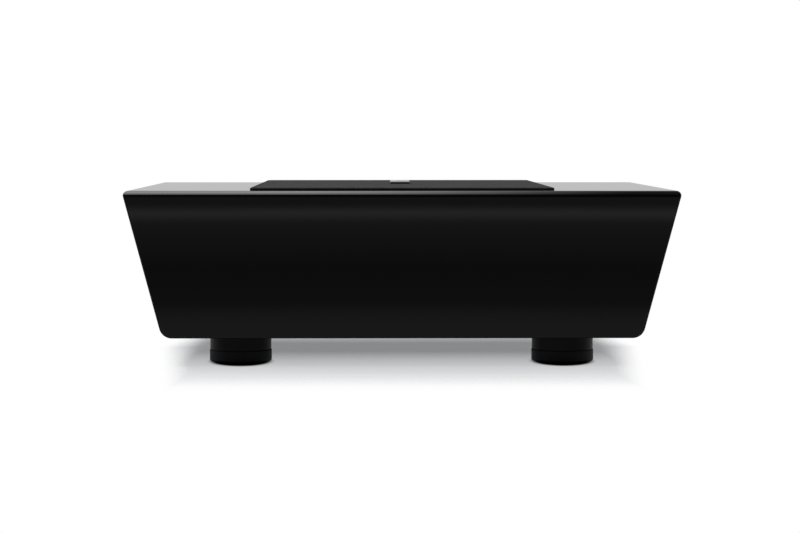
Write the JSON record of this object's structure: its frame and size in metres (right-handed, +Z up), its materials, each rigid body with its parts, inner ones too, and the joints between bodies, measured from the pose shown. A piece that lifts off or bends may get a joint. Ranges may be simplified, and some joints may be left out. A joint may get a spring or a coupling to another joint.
{
  "type": "wireless subwoofer",
  "caption": "Low, wide powered subwoofer: leaning gloss sides, up-firing woofer under a lift-off cloth grille, recessed rear amplifier tray, reflex port and round feet.",
  "frame": {"origin": "on the floor under the middle of the cabinet", "axes": "+Z up, front face towards -Y, +X to the right of someone facing the front"},
  "size_m": [0.391, 0.3, 0.128],
  "materials": {
    "lacquer": "gloss black lacquer on fibreboard",
    "fibreboard": "raw",
    "wadding": "soft polyester",
    "foot_body": "satin",
    "foot_pad": "matt",
    "black_steel": "satin black",
    "zinc_steel": "zinc plated",
    "grille_plastic": "satin",
    "grille_cloth": "coarse woven",
    "badge_base": "gloss",
    "badge_plate": "satin",
    "foam": "closed cell foam",
    "ferrite": "matt sintered",
    "cone_paper": "coated black",
    "surround_rubber": "satin",
    "spider_cloth": "resin dipped",
    "former_foil": "foil",
    "coil_wire": "enamelled wire",
    "tag_board": "matt",
    "lead": "satin",
    "port_plastic": "satin",
    "tray_plastic": "fine textured",
    "circuit_board": "solder mask",
    "heatsink": "extruded",
    "can_sleeve": "sleeved",
    "core": "ferrite",
    "module": "circuit board with a screening can",
    "socket_plastic": "satin",
    "contact_metal": "plated",
    "control_plastic": "satin",
    "button_plastic": "satin",
    "light": "translucent"
  },
  "bodies": {
    "cabinet": {"cabinet_shell": "lacquer", "top_baffle": "lacquer", "woofer_backing_ring": "fibreboard", "cabinet_braces": "fibreboard", "damping_wadding": "wadding", "foot_screws": "zinc_steel", "grille_sockets": "foam", "woofer_gasket": "foam", "woofer_basket": "black_steel", "woofer_screws": "black_steel", "magnet_ring": "ferrite", "pole_plate": "zinc_steel", "t_yoke": "zinc_steel", "terminal_strip": "tag_board", "speaker_leads": "lead", "port_flare": "port_plastic", "port_tube": "port_plastic", "amp_tray": "tray_plastic", "amp_tray_screws": "black_steel", "amp_board": "circuit_board", "heatsink": "heatsink", "power_transformer": "core", "reservoir_capacitors": "can_sleeve", "wireless_module": "module", "power_inlet": "socket_plastic", "power_inlet_pins": "contact_metal", "line_in_block": "socket_plastic", "line_in_sockets": "contact_metal", "level_pot": "contact_metal", "crossover_pot": "contact_metal", "phase_switch_body": "contact_metal", "pair_switch_body": "socket_plastic", "rocker_housing": "socket_plastic", "status_light": "light", "spider": "spider_cloth", "surround": "surround_rubber", "foot_body_front_left": "foot_body", "foot_pad_front_left": "foot_pad", "foot_body_rear_left": "foot_body", "foot_pad_rear_left": "foot_pad", "foot_body_front_right": "foot_body", "foot_pad_front_right": "foot_pad", "foot_body_rear_right": "foot_body", "foot_pad_rear_right": "foot_pad"},
    "cone_assembly": {"cone": "cone_paper", "dust_cap": "cone_paper", "coil_former": "former_foil", "coil_winding": "coil_wire"},
    "rocker": {"power_rocker": "control_plastic"},
    "level_control": {"level_knob": "control_plastic"},
    "crossover_control": {"crossover_knob": "control_plastic"},
    "phase_control": {"phase_slider": "button_plastic"},
    "pair_control": {"pair_button": "button_plastic"},
    "grille": {"grille_frame": "grille_plastic", "grille_pegs": "grille_plastic", "grille_cloth": "grille_cloth", "badge_base": "badge_base", "badge_plate": "badge_plate"}
  },
  "joints": [
    {"name": "grille_lift", "type": "slide", "parent": "cabinet", "child": "grille", "axis": [0, 0, 1], "range_m": [0, 0.05]},
    {"name": "cone_travel", "type": "slide", "parent": "cabinet", "child": "cone_assembly", "axis": [0, 0, 1], "range_m": [-0.006, 0.006], "stiffness_N_per_m": 3000, "deforming": ["surround", "spider"]},
    {"name": "power_rocker_tilt", "type": "hinge", "parent": "cabinet", "child": "rocker", "pos_m": [-0.00145, 0.1336, 0.06875], "axis": [1, 0, 0], "range_deg": [-16, 0]},
    {"name": "level_turn", "type": "hinge", "parent": "cabinet", "child": "level_control", "pos_m": [-0.0248, 0.136, 0.06875], "axis": [0, 1, 0], "range_deg": [-150, 150]},
    {"name": "crossover_turn", "type": "hinge", "parent": "cabinet", "child": "crossover_control", "pos_m": [-0.04735, 0.136, 0.06875], "axis": [0, 1, 0], "range_deg": [-150, 150]},
    {"name": "phase_slide", "type": "slide", "parent": "cabinet", "child": "phase_control", "axis": [1, 0, 0], "range_m": [0, 0.004]},
    {"name": "pair_press", "type": "slide", "parent": "cabinet", "child": "pair_control", "axis": [0, -1, 0], "range_m": [0, 0.0008], "stiffness_N_per_m": 600}
  ]
}
